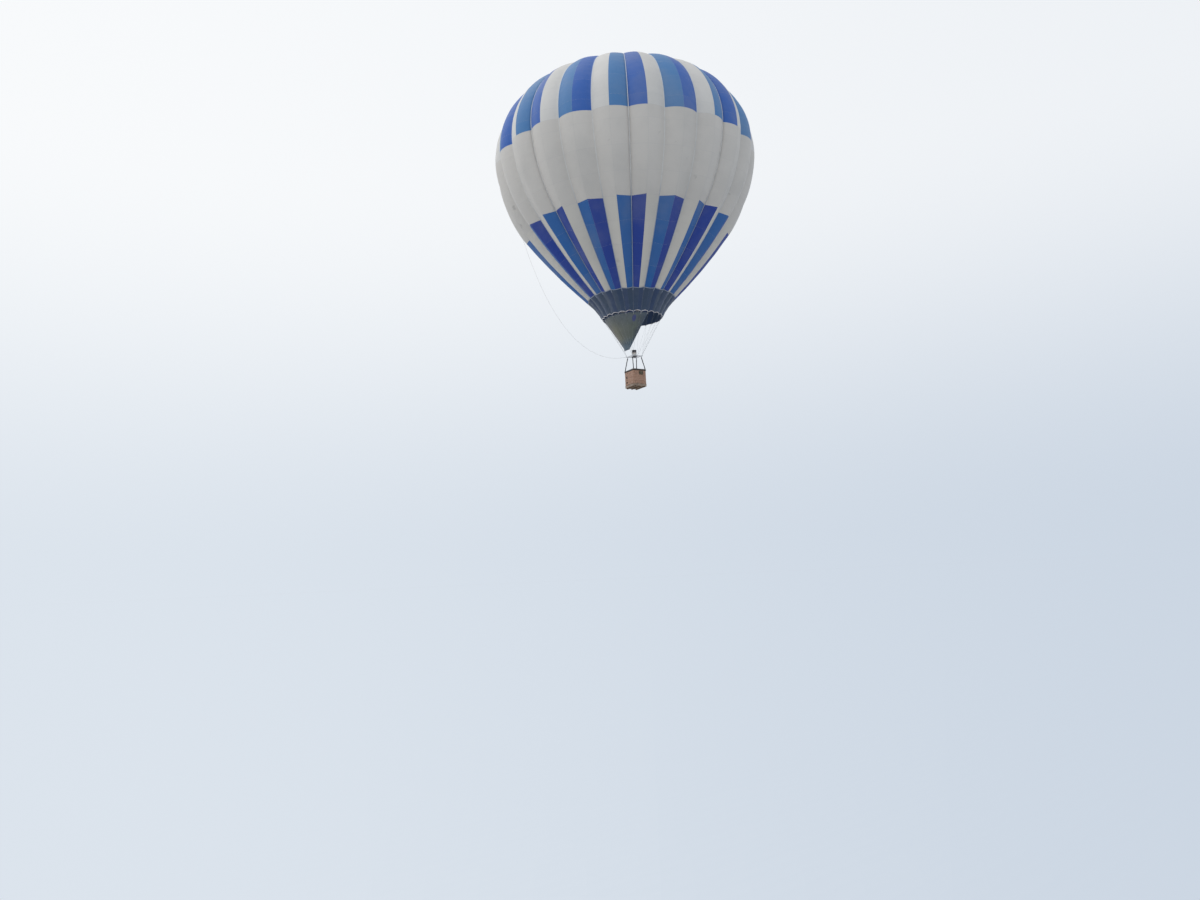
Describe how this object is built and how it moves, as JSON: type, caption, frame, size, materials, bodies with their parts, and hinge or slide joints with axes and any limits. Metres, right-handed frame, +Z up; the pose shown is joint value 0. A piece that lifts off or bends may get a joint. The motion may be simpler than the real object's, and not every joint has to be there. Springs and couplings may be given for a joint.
{
  "type": "hot air balloon",
  "caption": "Hot air balloon: gored striped envelope with scoop and parachute valve, wires, gimballed burner, padded uprights and wicker basket.",
  "frame": {"origin": "centre of lift of the envelope, on its axis, 9.4 m above the mouth; the mount air_lift", "axes": "+Z up along the envelope's axis; -Y is the side that faces the viewer in the picture"},
  "size_m": [16.6392, 16.6392, 20.8255],
  "materials": {
    "striped_cloth": "striped light blue, royal blue and white ripstop nylon",
    "white_cloth": "white ripstop nylon",
    "band_cloth": "dark slate flame-proof cloth",
    "valve_cloth": "ripstop nylon",
    "load_tape": "woven polyester tape",
    "scoop_cloth": "olive grey flame-proof cloth",
    "wire": "stainless stranded wire",
    "rope": "braided line",
    "steel": "satin stainless, heat tinted",
    "can_steel": "sooty stainless sheet",
    "brass": "machined brass",
    "wicker": "woven cane, varnished",
    "hide": "suede hide, laced",
    "sleeve": "padded dark sleeve",
    "pouch": "coated cloth",
    "plywood": "varnished plywood and ash",
    "cylinder": "padded jacket over brushed aluminium"
  },
  "bodies": {
    "envelope_and_basket": {"lower_panels_1": "striped_cloth", "lower_panels_2": "striped_cloth", "lower_panels_3": "striped_cloth", "lower_panels_4": "striped_cloth", "lower_panels_5": "striped_cloth", "lower_panels_6": "striped_cloth", "lower_panels_7": "striped_cloth", "lower_panels_8": "striped_cloth", "belly_panels_1": "white_cloth", "belly_panels_2": "white_cloth", "belly_panels_3": "white_cloth", "belly_panels_4": "white_cloth", "belly_panels_5": "white_cloth", "belly_panels_6": "white_cloth", "belly_panels_7": "white_cloth", "belly_panels_8": "white_cloth", "crown_panels_1": "striped_cloth", "crown_panels_2": "striped_cloth", "crown_panels_3": "striped_cloth", "crown_panels_4": "striped_cloth", "crown_panels_5": "striped_cloth", "crown_panels_6": "striped_cloth", "crown_panels_7": "striped_cloth", "crown_panels_8": "striped_cloth", "mouth_band": "band_cloth", "crown_ring": "load_tape", "scoop": "scoop_cloth", "flying_wires_near": "wire", "flying_wires_right": "wire", "flying_wires_far": "wire", "flying_wires_left": "wire", "crown_line": "rope", "burner_frame": "steel", "basket_walls": "wicker", "padded_rim": "hide", "bottom_edge": "hide", "floor_board": "plywood", "skid_1": "plywood", "skid_2": "plywood", "skid_3": "plywood", "upright_near": "sleeve", "upright_right": "sleeve", "upright_far": "sleeve", "upright_left": "sleeve", "fuel_cylinder_left": "cylinder", "fuel_cylinder_right": "cylinder", "side_pouch": "pouch"},
    "valve": {"valve_panel": "valve_cloth"},
    "gimbal": {"gimbal_ring": "steel"},
    "burner": {"burner_band": "steel", "burner_can": "can_steel", "burner_coil": "steel", "jet_ring": "steel", "valve_block": "brass"}
  },
  "joints": [
    {"name": "valve_slide", "type": "slide", "parent": "envelope_and_basket", "child": "valve", "axis": [0, 0, -1], "range_m": [0, 1.2]},
    {"name": "gimbal_tilt", "type": "hinge", "parent": "envelope_and_basket", "child": "gimbal", "pos_m": [0, 0, -11.79], "axis": [0.866, 0.5, 0], "range_deg": [-15, 15]},
    {"name": "burner_tilt", "type": "hinge", "parent": "gimbal", "child": "burner", "pos_m": [0, 0, -11.79], "axis": [-0.5, 0.866, 0], "range_deg": [-15, 15]}
  ]
}
